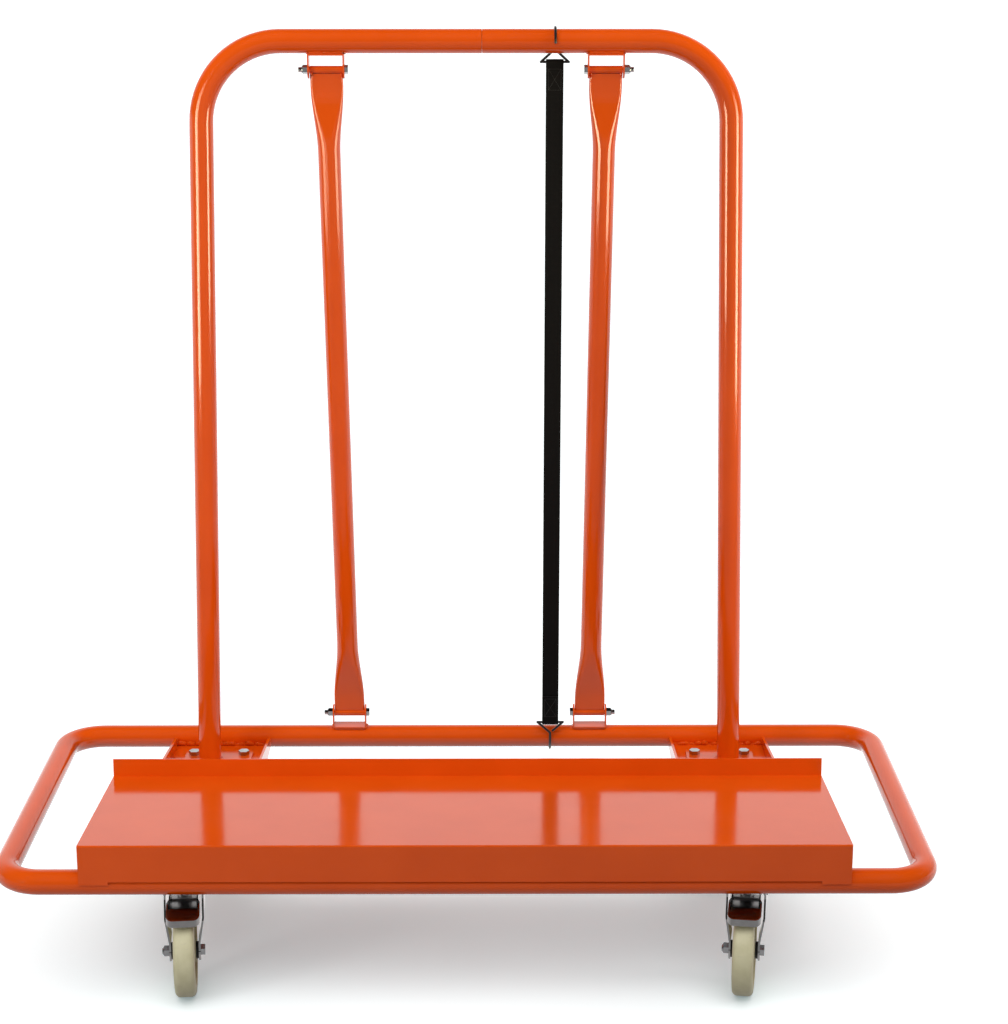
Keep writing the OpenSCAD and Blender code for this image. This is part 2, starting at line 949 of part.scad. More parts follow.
module strap_hook_bottom() {
    color(BLACK)
        at_strap()
            translate([0, 2 * hook_r, -strap_len])
                rotate([180, 0, 0])
                    strap_hook();
}

base_loop();
cross_channel(-1);  // cross_channel_left
cross_channel(1);  // cross_channel_right
deck();
upright(-1);  // upright_left
upright(1);  // upright_right
frame_spigot();
foot_plate(-1);  // foot_plate_left
foot_plate(1);  // foot_plate_right
top_bracket(-1);  // top_bracket_left
top_bracket(1);  // top_bracket_right
rear_bracket(-1);  // rear_bracket_left
rear_bracket(1);  // rear_bracket_right
brace(-1);  // brace_left
brace(1);  // brace_right
brace_bushes();
pivot_bolts();
pivot_nuts();
plate_bolts();
plate_nuts();
kingpins();
swivel_balls();
caster_plate(CASTER_FL);  // caster_plate_front_left
caster_plate(CASTER_FR);  // caster_plate_front_right
caster_plate(CASTER_RL);  // caster_plate_rear_left
caster_plate(CASTER_RR);  // caster_plate_rear_right
fork(CASTER_FL, true);  // fork_front_left
fork(CASTER_FR, true);  // fork_front_right
fork(CASTER_RL, false);  // fork_rear_left
fork(CASTER_RR, false);  // fork_rear_right
wheel(CASTER_FL);  // wheel_front_left
wheel(CASTER_FR);  // wheel_front_right
wheel(CASTER_RL);  // wheel_rear_left
wheel(CASTER_RR);  // wheel_rear_right
wheel_bush(CASTER_FL);  // wheel_bush_front_left
wheel_bush(CASTER_FR);  // wheel_bush_front_right
wheel_bush(CASTER_RL);  // wheel_bush_rear_left
wheel_bush(CASTER_RR);  // wheel_bush_rear_right
hub_discs(CASTER_FL);  // hub_discs_front_left
hub_discs(CASTER_FR);  // hub_discs_front_right
hub_discs(CASTER_RL);  // hub_discs_rear_left
hub_discs(CASTER_RR);  // hub_discs_rear_right
axle(CASTER_FL);  // axle_front_left
axle(CASTER_FR);  // axle_front_right
axle(CASTER_RL);  // axle_rear_left
axle(CASTER_RR);  // axle_rear_right
brake_pedal(CASTER_FL);  // brake_pedal_left
brake_pedal(CASTER_FR);  // brake_pedal_right
pedal_pin(CASTER_FL);  // pedal_pin_left
pedal_pin(CASTER_FR);  // pedal_pin_right
strap_webbing();
strap_hook_top();
strap_hook_bottom();
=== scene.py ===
"""Looks of the drywall cart: paint, metal and nylon materials, weld beads, bolt threads and strap webbing."""
import json
import math
import random

import bpy
from mathutils import Matrix, Vector


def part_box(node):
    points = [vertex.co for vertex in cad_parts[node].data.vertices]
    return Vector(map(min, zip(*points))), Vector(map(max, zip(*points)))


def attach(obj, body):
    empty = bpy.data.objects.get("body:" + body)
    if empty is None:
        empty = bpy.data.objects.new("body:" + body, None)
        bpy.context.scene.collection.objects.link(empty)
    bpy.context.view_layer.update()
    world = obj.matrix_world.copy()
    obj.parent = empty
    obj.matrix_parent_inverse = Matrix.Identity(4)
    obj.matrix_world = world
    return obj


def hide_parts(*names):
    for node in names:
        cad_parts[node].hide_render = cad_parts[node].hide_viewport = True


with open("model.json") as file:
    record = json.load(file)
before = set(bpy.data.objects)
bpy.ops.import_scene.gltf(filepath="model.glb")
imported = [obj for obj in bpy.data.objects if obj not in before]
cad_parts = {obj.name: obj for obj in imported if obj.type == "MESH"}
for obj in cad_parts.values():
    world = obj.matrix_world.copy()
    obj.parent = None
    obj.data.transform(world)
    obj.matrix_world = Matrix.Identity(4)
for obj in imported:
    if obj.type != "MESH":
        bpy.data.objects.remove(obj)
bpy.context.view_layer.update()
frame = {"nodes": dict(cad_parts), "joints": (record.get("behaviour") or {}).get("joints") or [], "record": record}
nodes = frame["nodes"]
MM = 0.001

# Places read from the CAD nodes
loop_lo, loop_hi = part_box("base_loop")
tube_r = (loop_hi.z - loop_lo.z) / 2
base_z = (loop_hi.z + loop_lo.z) / 2
mid_y = (loop_hi.y + loop_lo.y) / 2
front_y = loop_lo.y + tube_r
rear_y = loop_hi.y - tube_r
left_lo, left_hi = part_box("upright_left")
frame_y = (left_lo.y + left_hi.y) / 2
upright_x = -(left_lo.x + tube_r)
top_z = left_hi.z - tube_r
foot_lo, foot_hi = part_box("foot_plate_left")
track_x = -(foot_lo.x + foot_hi.x) / 2
foot_z = foot_hi.z
floor_z = foot_lo.z
channel_lo, channel_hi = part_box("cross_channel_right")

# Camera at the photograph's viewing angle, solved for a 1008 by 1024 frame
FOCAL_PX = 2286.3
FRAME_PX = 1024
SENSOR_MM = 36
CAMERA_RIGHT = 0.0464
CAMERA_BACK = 3.4536
CAMERA_UP = 1.4331
CAMERA_TILT = math.radians(15.29)
CAMERA_TURN = -0.0036
camera_data = bpy.data.cameras.new("camera")
camera_data.sensor_width = SENSOR_MM
camera_data.lens = FOCAL_PX / FRAME_PX * SENSOR_MM
camera = bpy.data.objects.new("camera", camera_data)
bpy.context.scene.collection.objects.link(camera)
camera.location = (CAMERA_RIGHT, mid_y - CAMERA_BACK, base_z + CAMERA_UP)
camera.rotation_euler = (math.pi / 2 - CAMERA_TILT, 0, CAMERA_TURN)
bpy.context.scene.camera = camera


# Material helpers

def new_material(name):
    """A new material, its node tree and its Principled surface."""
    material = bpy.data.materials.new(name)
    material.use_nodes = True
    return material, material.node_tree, material.node_tree.nodes["Principled BSDF"]


def add(tree, kind, **inputs):
    """A node of that kind with its named inputs set."""
    node = tree.nodes.new(kind)
    for key, value in inputs.items():
        node.inputs[key.replace("_", " ")].default_value = value
    return node


def coordinates(tree, stretch=(1, 1, 1)):
    """Object coordinates in metres, stretched per axis."""
    place = tree.nodes.new("ShaderNodeTexCoord")
    mapping = tree.nodes.new("ShaderNodeMapping")
    mapping.inputs["Scale"].default_value = stretch
    tree.links.new(place.outputs["Object"], mapping.inputs["Vector"])
    return mapping.outputs["Vector"]


def noise(tree, vector, scale, detail):
    """Noise from 0 to 1, about a scale's worth of blobs to the metre."""
    node = add(tree, "ShaderNodeTexNoise", Scale=scale, Detail=detail)
    tree.links.new(vector, node.inputs["Vector"])
    return node.outputs["Fac"]


def wave(tree, vector, pitch, direction, distortion):
    """Bands about one pitch apart, in metres."""
    node = add(tree, "ShaderNodeTexWave", Scale=1 / (math.pi * pitch), Distortion=distortion)
    node.bands_direction = direction
    tree.links.new(vector, node.inputs["Vector"])
    return node.outputs["Fac"]


def ramp(tree, fac, stops):
    """A colour ramp over fac with (place, colour) stops."""
    node = tree.nodes.new("ShaderNodeValToRGB")
    elements = node.color_ramp.elements
    while len(elements) < len(stops):
        elements.new(0.5)
    for element, (place, colour) in zip(elements, stops):
        element.position = place
        element.color = (*colour, 1)
    tree.links.new(fac, node.inputs["Fac"])
    return node.outputs["Color"]


def grey(value):
    return (value, value, value)


def mix_colour(tree, fac, low, high):
    """low where fac is 0 and high where it is 1; each is a colour or a socket."""
    node = tree.nodes.new("ShaderNodeMix")
    node.data_type = "RGBA"
    tree.links.new(fac, node.inputs[0])
    for socket, value in ((node.inputs[6], low), (node.inputs[7], high)):
        if isinstance(value, tuple):
            socket.default_value = (*value, 1)
        else:
            tree.links.new(value, socket)
    return node.outputs[2]


def span(tree, fac, low, high):
    """fac from 0 to 1, carried to the range low to high."""
    node = tree.nodes.new("ShaderNodeMapRange")
    node.inputs["To Min"].default_value = low
    node.inputs["To Max"].default_value = high
    tree.links.new(fac, node.inputs["Value"])
    return node.outputs["Result"]


def bump(tree, surface, heights, strength):
    """Stacks bumps of (height, distance in metres) on the surface's normal."""
    normal = None
    for height, distance in heights:
        node = add(tree, "ShaderNodeBump", Strength=strength, Distance=distance)
        tree.links.new(height, node.inputs["Height"])
        if normal is not None:
            tree.links.new(normal, node.inputs["Normal"])
        normal = node.outputs["Normal"]
    tree.links.new(normal, surface.inputs["Normal"])


def paint_material(name, dark, light, roughness):
    """Gloss powder coat: orange peel, slight pooling of colour and a few dull patches."""
    material, tree, surface = new_material(name)
    place = coordinates(tree)
    pooling = noise(tree, place, 9, 4)
    peel = noise(tree, place, 620, 2)
    patches = noise(tree, place, 23, 5)
    colour = ramp(tree, pooling, [(0.3, dark), (0.7, light)])
    tree.links.new(colour, surface.inputs["Base Color"])
    tree.links.new(span(tree, patches, roughness - 0.05, roughness + 0.06), surface.inputs["Roughness"])
    surface.inputs["Specular IOR Level"].default_value = 0.5
    bump(tree, surface, [(peel, 0.00025)], 0.07)
    return material


def metal_material(name, dark, light, roughness, spread, grain):
    """Plated or bare metal: clouded tone, fine grain and uneven polish."""
    material, tree, surface = new_material(name)
    place = coordinates(tree)
    cloud = noise(tree, place, 70, 4)
    fine = noise(tree, place, grain, 3)
    tree.links.new(ramp(tree, cloud, [(0.3, dark), (0.7, light)]), surface.inputs["Base Color"])
    tree.links.new(span(tree, fine, roughness - spread, roughness + spread), surface.inputs["Roughness"])
    surface.inputs["Metallic"].default_value = 1.0
    bump(tree, surface, [(fine, 0.0001)], 0.15)
    return material


def nylon_material():
    """Cream cast nylon: faint mottling, patches of dirt and a moulded grain."""
    material, tree, surface = new_material("cream_nylon")
    place = coordinates(tree)
    mottle = noise(tree, place, 55, 4)
    grain = noise(tree, place, 900, 2)
    scuffs = noise(tree, coordinates(tree, (1, 1, 6)), 45, 5)
    base = ramp(tree, mottle, [(0.3, (0.62, 0.58, 0.36)), (0.7, (0.70, 0.66, 0.44))])
    dirt = ramp(tree, scuffs, [(0.62, grey(0.0)), (0.78, grey(0.35))])
    tree.links.new(mix_colour(tree, dirt, base, (0.45, 0.42, 0.33)), surface.inputs["Base Color"])
    tree.links.new(span(tree, mottle, 0.34, 0.48), surface.inputs["Roughness"])
    bump(tree, surface, [(grain, 0.0002), (scuffs, 0.0002)], 0.15)
    return material


def plastic_material(name, dark, light, roughness, grain):
    """Moulded or coated plastic: faint mottling and a fine grain."""
    material, tree, surface = new_material(name)
    place = coordinates(tree)
    mottle = noise(tree, place, 60, 3)
    fine = noise(tree, place, grain, 2)
    tree.links.new(ramp(tree, mottle, [(0.3, dark), (0.7, light)]), surface.inputs["Base Color"])
    tree.links.new(span(tree, fine, roughness - 0.06, roughness + 0.06), surface.inputs["Roughness"])
    bump(tree, surface, [(fine, 0.0002)], 0.2)
    return material


def webbing_material():
    """Woven black webbing: cross ribs, lengthwise yarns and slightly paler worn crowns."""
    material, tree, surface = new_material("black_webbing")
    place = coordinates(tree)
    ribs = wave(tree, place, 2.1 * MM, "Z", 0.4)
    yarns = wave(tree, place, 1.6 * MM, "X", 0.3)
    fuzz = noise(tree, place, 1400, 2)
    weave = tree.nodes.new("ShaderNodeMath")
    weave.operation = "MULTIPLY"
    tree.links.new(ribs, weave.inputs[0])
    tree.links.new(yarns, weave.inputs[1])
    colour = ramp(tree, weave.outputs["Value"], [(0.0, grey(0.002)), (1.0, grey(0.009))])
    tree.links.new(colour, surface.inputs["Base Color"])
    tree.links.new(span(tree, fuzz, 0.7, 0.9), surface.inputs["Roughness"])
    surface.inputs["Sheen Weight"].default_value = 0.06
    surface.inputs["Specular IOR Level"].default_value = 0.12
    bump(tree, surface, [(weave.outputs["Value"], 0.0005), (fuzz, 0.0002)], 0.5)
    return material


PAINT = paint_material("orange_paint", (0.74, 0.080, 0.0020), (0.80, 0.092, 0.0035), 0.11)
WELD_PAINT = paint_material("orange_weld", (0.60, 0.060, 0.002), (0.78, 0.090, 0.004), 0.14)
CHROME = metal_material("chromed_steel", grey(0.44), grey(0.54), 0.09, 0.03, 500)
PRESSED = metal_material("pressed_chrome", grey(0.42), grey(0.52), 0.17, 0.03, 1400)
ZINC = metal_material("zinc_steel", (0.40, 0.41, 0.42), (0.56, 0.57, 0.58), 0.14, 0.05, 700)
STEEL = metal_material("bare_steel", grey(0.40), grey(0.52), 0.34, 0.08, 800)
NYLON = nylon_material()
BLACK = plastic_material("black_plastic", grey(0.010), grey(0.020), 0.5, 900)
WIRE = plastic_material("black_coated_wire", grey(0.008), grey(0.016), 0.3, 700)
WEBBING = webbing_material()
SLOT_MATERIALS = {
    "orange_paint": PAINT, "chromed_steel": CHROME, "zinc_steel": ZINC, "bare_steel": STEEL,
    "cream_nylon": NYLON, "black_plastic": BLACK, "black_coated_wire": WIRE, "black_webbing": WEBBING,
}
for subpart in frame["record"]["subparts"]:
    mesh = nodes[subpart["node"]].data
    mesh.materials.clear()
    pressed = subpart["node"].startswith("brake_pedal")
    mesh.materials.append(PRESSED if pressed else SLOT_MATERIALS[subpart["material_slot"]])


# Mesh helpers

def make_piece(name, points, faces, material, body, slot):
    """A mesh piece in the row frame that rides on a body."""
    mesh = bpy.data.meshes.new(name)
    mesh.from_pydata([tuple(p) for p in points], [], faces)
    mesh.validate()
    for polygon in mesh.polygons:
        polygon.use_smooth = True
    mesh.materials.append(material)
    piece = bpy.data.objects.new(name, mesh)
    bpy.context.scene.collection.objects.link(piece)
    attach(piece, body)
    return piece


def sweep(path, radii, sides, closed):
    """Points and faces of a round tube along a path, capped unless closed."""
    count = len(path)
    points = []
    reference = None
    for i in range(count):
        ahead = path[(i + 1) % count] if closed or i < count - 1 else path[i]
        behind = path[i - 1] if closed or i > 0 else path[i]
        tangent = (ahead - behind).normalized()
        if reference is None:
            reference = tangent.orthogonal().normalized()
        reference = (reference - tangent * reference.dot(tangent)).normalized()
        across = tangent.cross(reference)
        for k in range(sides):
            a = math.tau * k / sides
            points.append(path[i] + radii[i] * (math.cos(a) * reference + math.sin(a) * across))
    faces = []
    for i in range(count if closed else count - 1):
        n = (i + 1) % count
        for k in range(sides):
            m = (k + 1) % sides
            faces.append((i * sides + k, i * sides + m, n * sides + m, n * sides + k))
    if not closed:
        faces.append(tuple(reversed(range(sides))))
        faces.append(tuple((count - 1) * sides + k for k in range(sides)))
    return points, faces


def resample(corners, step):
    """Points about one step apart along straight runs between corners."""
    out = []
    for a, b in zip(corners, corners[1:]):
        count = max(1, round((b - a).length / step))
        out += [a.lerp(b, i / count) for i in range(count)]
    return out + [corners[-1]]


def gather(parts):
    """Joins (points, faces) parts into one."""
    points = []
    faces = []
    for part_points, part_faces in parts:
        base = len(points)
        points += part_points
        faces += [tuple(base + i for i in face) for face in part_faces]
    return points, faces


BEAD_STEP = 0.9 * MM
BEAD_SIDES = 10
RIPPLE_LENGTH = 3.4 * MM
RIPPLE_SHARE = 0.16
WANDER_STEPS = 6


def weld_bead(corners, radius, seed, closed=False, sway=Vector((0, 0, 0.25)), lump=0.16):
    """A hand-laid bead: overlapping ripples, uneven in width and swaying by shares of its radius."""
    rng = random.Random(seed)
    path = resample(corners, BEAD_STEP)
    if closed:
        path = path[:-1]
    wander = [rng.uniform(-1, 1) for _ in range(len(path) // WANDER_STEPS + 3)]
    out = []
    radii = []
    for i, point in enumerate(path):
        k, t = divmod(i / WANDER_STEPS, 1)
        t = t * t * (3 - 2 * t)
        drift = wander[int(k)] * (1 - t) + wander[int(k) + 1] * t
        phase = (i * BEAD_STEP / RIPPLE_LENGTH) % 1
        swell = 1 + RIPPLE_SHARE * math.sin(math.pi * phase) + lump * drift
        end = 1 if closed else min(1, 0.45 + 0.25 * min(i, len(path) - 1 - i))
        radii.append(radius * swell * end)
        out.append(point + radius * drift * sway)
    return sweep(out, radii, BEAD_SIDES, closed)


def ring_path(centre, radius, count):
    """A closed ring about Z, its first point repeated."""
    return [
        centre + radius * Vector((math.cos(math.tau * i / count), math.sin(math.tau * i / count), 0))
        for i in range(count + 1)
    ]


# Weld beads
FOOT_BEAD = 3.0 * MM
CHANNEL_BEAD = 3.4 * MM
BACK_BEAD = 2.8 * MM
END_BEAD = 2.4 * MM
CORNER_BEAD = 1.9 * MM
LUMPY = 0.3
TOP_BRACKETS_Z = 1.0
PIVOT_INSET = 14 * MM


def foot_welds(side):
    """A bead around an upright's foot, on its plate."""
    centre = Vector((side * upright_x, frame_y, foot_z + 1.2 * MM))
    return [weld_bead(ring_path(centre, tube_r + 1.0 * MM, 60), FOOT_BEAD, 11 + side, closed=True)]


def channel_welds(side):
    """Beads between a channel's ends and the base tubes, on the floor and up the side walls."""
    width = channel_hi.x - channel_lo.x
    x0 = side * track_x - width / 2 + 3 * MM
    x1 = side * track_x + width / 2 - 3 * MM
    drop = base_z - floor_z
    reach = math.sqrt(tube_r ** 2 - drop ** 2)
    beads = []
    for end, y in ((1, rear_y), (-1, front_y)):
        line_y = y - end * (reach + 1.2 * MM)
        run = [Vector((x0, line_y, floor_z + 2.2 * MM)), Vector((x1, line_y, floor_z + 2.2 * MM))]
        sway = Vector((0, -end * 0.45, 0.75))
        beads.append(weld_bead(run, CHANNEL_BEAD, 31 + 7 * side + end, sway=sway, lump=LUMPY))
        for wall_x in (x0 - 1 * MM, x1 + 1 * MM):
            wall = [
                Vector((wall_x, y - end * (tube_r + 0.5 * MM), floor_z + 1 * MM)),
                Vector((wall_x, y - end * (tube_r + 0.5 * MM), base_z + 3 * MM)),
            ]
            beads.append(weld_bead(wall, CHANNEL_BEAD, 53 + 7 * side + end + int(wall_x * 1000)))
    return beads


def bracket_welds(name, seed):
    """Beads along both edges of a bracket's back, in the wedge between it and the round tube."""
    lo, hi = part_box(name)
    top = lo.z > TOP_BRACKETS_Z
    seat_z = hi.z if top else lo.z
    lift = 1.6 * MM if top else -1.6 * MM
    middle = (lo.y + hi.y) / 2
    beads = []
    for edge in (-1, 1):
        y = middle + edge * 9.5 * MM
        run = [Vector((lo.x + 2 * MM, y, seat_z + lift)), Vector((hi.x - 2 * MM, y, seat_z + lift))]
        beads.append(weld_bead(run, BACK_BEAD, seed + edge))
    for x in (lo.x, hi.x):
        run = [Vector((x, middle - 8 * MM, seat_z + lift)), Vector((x, middle + 8 * MM, seat_z + lift))]
        beads.append(weld_bead(run, END_BEAD, seed + 5, lump=LUMPY))
    return beads


def pivot_height(lo, hi):
    """Height of the pivot in a bracket's box, near the end that is away from the tube."""
    return lo.z + PIVOT_INSET if lo.z > TOP_BRACKETS_Z else hi.z - PIVOT_INSET


def bush_welds(name, seed):
    """Short beads that hold each corner of a brace's squashed end to the bush across it."""
    lo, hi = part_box(name)
    side = math.copysign(1, lo.x)
    away = -1 if lo.z > TOP_BRACKETS_Z else 1
    middle = Vector(((lo.x + hi.x) / 2, (lo.y + hi.y) / 2, pivot_height(lo, hi) + away * 6.2 * MM))
    half = (hi.x - lo.x) / 2 - 7 * MM
    beads = []
    for end in (-1, 1):
        for face in (-1, 1):
            start = middle + Vector((end * half, face * 3.6 * MM, 0))
            stop = start + Vector((end * 3 * MM, -face * 1.5 * MM, away * 2 * MM))
            bead_seed = seed + 3 * end + face + round(side)
            beads.append(weld_bead([start, stop], CORNER_BEAD, bead_seed, lump=LUMPY))
    return beads


weld_parts = []
for side in (-1, 1):
    weld_parts += foot_welds(side)
    weld_parts += channel_welds(side)
bracket_names = ("top_bracket_left", "top_bracket_right", "rear_bracket_left", "rear_bracket_right")
for seed, name in enumerate(bracket_names):
    weld_parts += bracket_welds(name, 200 + 10 * seed)
    weld_parts += bush_welds(name, 300 + 10 * seed)
make_piece("weld_beads", *gather(weld_parts), WELD_PAINT, "frame", "orange_paint")


# Load strap: the hooks stay as CAD, and the webbing is woven here along the same line
WIRE_R = 2.0 * MM
CLEAR = 0.3 * MM
STRAP_T = 2.2 * MM
HOOK_LEG = 15 * MM
TRIANGLE_H = 20 * MM
SEWN = 48 * MM
hook_r = tube_r + CLEAR + WIRE_R
strap_lo, strap_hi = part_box("strap_webbing")
strap_x = (strap_lo.x + strap_hi.x) / 2
strap_w = strap_hi.x - strap_lo.x
run_length = math.hypot(rear_y - frame_y, top_z - base_z)
lean = math.atan2(rear_y - frame_y, top_z - base_z) - math.asin(2 * hook_r / run_length)
taut = math.sqrt(run_length ** 2 - 4 * hook_r ** 2)
bar_top = -HOOK_LEG - TRIANGLE_H
bar_bottom = -taut - bar_top
strap_frame = Matrix.Translation((strap_x, frame_y, top_z)) @ Matrix.Rotation(lean, 4, "X")


def strap_line():
    """The webbing's centre line in the strap's own Y and Z: tail, loop, run, loop, tail."""
    loop = WIRE_R + CLEAR + STRAP_T / 2
    half = STRAP_T / 2
    arc = [
        (loop * math.cos(a), bar_top + loop * math.sin(a))
        for a in (math.pi * (i / 12 * 1.12 - 0.06) for i in range(13))
    ]
    upper = [(half, bar_top - SEWN), (half, bar_top - SEWN / 2), (half, bar_top - 9 * MM)] + arc
    upper += [(-half, bar_top - 9 * MM), (-half, bar_top - SEWN / 2), (-half, bar_top - SEWN)]
    upper += [(-0.5 * half, bar_top - SEWN - 10 * MM), (0, bar_top - SEWN - 22 * MM)]
    run_start = upper[-1][1]
    run_end = bar_top + bar_bottom - run_start
    steps = 40
    run = [(0.0, run_start + (run_end - run_start) * i / steps) for i in range(1, steps)]
    lower = [(-y, bar_top + bar_bottom - z) for y, z in reversed(upper)]
    return [Vector((0, hook_r + y, z)) for y, z in upper + run + lower]


def ribbon(path, width, thickness):
    """A flat band with rounded edges along a path that lies in the Y Z plane."""
    edge = [(math.cos(a), math.sin(a)) for a in (math.radians(d) for d in (-90, -45, 0, 45, 90))]
    half_w = width / 2 - thickness / 2
    half_t = thickness / 2
    section = [(half_w + half_t * c, half_t * s) for c, s in edge]
    flat = 6
    section += [(half_w - 2 * half_w * i / flat, half_t) for i in range(1, flat)]
    section += [(-half_w - half_t * c, -half_t * s) for c, s in edge]
    section += [(-half_w + 2 * half_w * i / flat, -half_t) for i in range(1, flat)]
    size = len(section)
    points = []
    for i, point in enumerate(path):
        tangent = path[min(i + 1, len(path) - 1)] - path[max(i - 1, 0)]
        normal = Vector((0, -tangent.z, tangent.y)).normalized()
        points += [point + Vector((x, 0, 0)) + normal * t for x, t in section]
    faces = [
        (i * size + k, i * size + (k + 1) % size, (i + 1) * size + (k + 1) % size, (i + 1) * size + k)
        for i in range(len(path) - 1)
        for k in range(size)
    ]
    faces.append(tuple(reversed(range(size))))
    faces.append(tuple((len(path) - 1) * size + k for k in range(size)))
    return points, faces


line = strap_line()
band_points, band_faces = ribbon(line, strap_w, STRAP_T)
webbing = make_piece(
    "strap_band", [strap_frame @ p for p in band_points], band_faces, WEBBING, "frame", "black_webbing"
)
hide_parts("strap_webbing")


STITCH_LENGTH = 2.6 * MM
STITCH_SIDES = 6
STITCH_RADII = [r * MM for r in (0.15, 0.32, 0.38, 0.32, 0.15)]
SEAM_MARGIN = 4 * MM
SEAM_FROM_BAR = 11 * MM


def seam_row(start, stop, y):
    """Raised threads in a row between two (x, z) points of the strap."""
    (x0, z0), (x1, z1) = start, stop
    count = max(1, round(math.hypot(x1 - x0, z1 - z0) / STITCH_LENGTH))
    row = []
    for i in range(count):
        a = Vector((x0 + (x1 - x0) * (i + 0.1) / count, y, z0 + (z1 - z0) * (i + 0.1) / count))
        b = Vector((x0 + (x1 - x0) * (i + 0.9) / count, y, z0 + (z1 - z0) * (i + 0.9) / count))
        path = [a.lerp(b, t) for t in (0, 0.25, 0.5, 0.75, 1)]
        row.append(sweep(path, STITCH_RADII, STITCH_SIDES, False))
    return row


def stitches():
    """Box-and-cross seams through the two layers at each end, as raised threads."""
    parts = []
    half = strap_w / 2 - SEAM_MARGIN
    upper = (bar_top - SEWN + SEAM_MARGIN, bar_top - SEAM_FROM_BAR)
    lower = (bar_bottom + SEAM_FROM_BAR, bar_bottom + SEWN - SEAM_MARGIN)
    for low, high in (upper, lower):
        corners = [(-half, low), (half, low), (half, high), (-half, high)]
        box = list(zip(corners, corners[1:] + corners[:1]))
        cross = [(corners[0], corners[2]), (corners[1], corners[3])]
        for start, stop in box + cross:
            for face in (-1, 1):
                parts += seam_row(start, stop, hook_r + face * (STRAP_T + 0.05 * MM))
    points, faces = gather(parts)
    return [strap_frame @ p for p in points], faces


THREAD = plastic_material("seam_thread", grey(0.018), grey(0.035), 0.7, 1500)
seams = make_piece("strap_seams", *stitches(), THREAD, "frame", "black_webbing")


# Bolt threads and lock nut collars, each about its own bolt's axis
LATHE_SEGMENTS = 28
NUT_LENGTH = 8.05 * MM
PIVOT_BOLT_R = 4 * MM
PIVOT_COLLAR_R = 5.8 * MM
PIVOT_COLLAR_H = 1.8 * MM
PIVOT_PITCH = 1.25 * MM
AXLE_R = 5 * MM
AXLE_COLLAR_R = 7.2 * MM
AXLE_COLLAR_H = 1.5 * MM
AXLE_THREAD = 1.2 * MM
AXLE_PITCH = 0.6 * MM
AXLE_LEG_OUT = 23.6 * MM
COLLAR_CLEAR = 0.05 * MM
TIP_CLEAR = 0.3 * MM


def lathe(profile, origin, axis):
    """Points and faces of (distance along the axis, radius) turned about the axis, capped at both ends."""
    segments = LATHE_SEGMENTS
    axis = Vector(axis).normalized()
    side = axis.orthogonal().normalized()
    across = axis.cross(side)
    points = []
    for distance, radius in profile:
        for k in range(segments):
            a = math.tau * k / segments
            points.append(origin + axis * distance + radius * (math.cos(a) * side + math.sin(a) * across))
    faces = [
        (i * segments + k, i * segments + (k + 1) % segments,
         (i + 1) * segments + (k + 1) % segments, (i + 1) * segments + k)
        for i in range(len(profile) - 1)
        for k in range(segments)
    ]
    faces.append(tuple(reversed(range(segments))))
    faces.append(tuple((len(profile) - 1) * segments + k for k in range(segments)))
    return points, faces


def thread(origin, axis, radius, length, pitch):
    """Thread crests over a bolt's free end, with a chamfered tip."""
    profile = []
    turns = max(2, round(length / pitch))
    for i in range(turns):
        at = length * i / turns
        step = length / turns
        profile += [(at, radius + 0.02 * MM), (at + 0.45 * step, radius + 0.20 * MM)]
        profile += [(at + 0.6 * step, radius + 0.20 * MM)]
    profile.append((length, radius + 0.02 * MM))
    profile.append((length + 0.25 * MM, radius - 0.7 * MM))
    return lathe(profile, origin, axis)


def collar(origin, axis, inner, outer, height):
    """The rolled collar of a lock nut."""
    profile = [
        (0, outer), (0.55 * height, outer), (0.85 * height, outer - 0.25 * (outer - inner)),
        (height, outer - 0.6 * (outer - inner)), (height, inner),
    ]
    return lathe(profile, origin, axis)


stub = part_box("pivot_bolts")[1].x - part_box("pivot_nuts")[1].x
bracket_sites = []
for name in bracket_names:
    lo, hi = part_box(name)
    side = math.copysign(1, lo.x)
    outer_x = hi.x if side > 0 else lo.x
    bracket_sites.append((side, outer_x, (lo.y + hi.y) / 2, pivot_height(lo, hi)))
threads = []
collars = []
for side, x, y, z in bracket_sites:
    out = Vector((side, 0, 0))
    nut_end = Vector((x + side * NUT_LENGTH, y, z))
    thread_length = stub - PIVOT_COLLAR_H - TIP_CLEAR
    threads.append(thread(nut_end + out * PIVOT_COLLAR_H, out, PIVOT_BOLT_R, thread_length, PIVOT_PITCH))
    collars.append(collar(nut_end, out, PIVOT_BOLT_R + COLLAR_CLEAR, PIVOT_COLLAR_R, PIVOT_COLLAR_H))
make_piece("pivot_threads", *gather(threads), ZINC, "frame", "zinc_steel")
make_piece("pivot_collars", *gather(collars), ZINC, "frame", "zinc_steel")

for corner in ("front_left", "front_right", "rear_left", "rear_right"):
    spin = next(j for j in frame["joints"] if j["name"] == "spin_" + corner)
    axis = Vector(spin["axis"])
    centre = Vector(spin["pos_m"])
    nut_end = centre - axis * (AXLE_LEG_OUT + NUT_LENGTH)
    axle_bits = [
        collar(nut_end, -axis, AXLE_R + COLLAR_CLEAR, AXLE_COLLAR_R, AXLE_COLLAR_H),
        thread(nut_end - axis * AXLE_COLLAR_H, -axis, AXLE_R, AXLE_THREAD, AXLE_PITCH),
    ]
    make_piece("axle_collar_" + corner, *gather(axle_bits), ZINC, "swivel_" + corner, "zinc_steel")

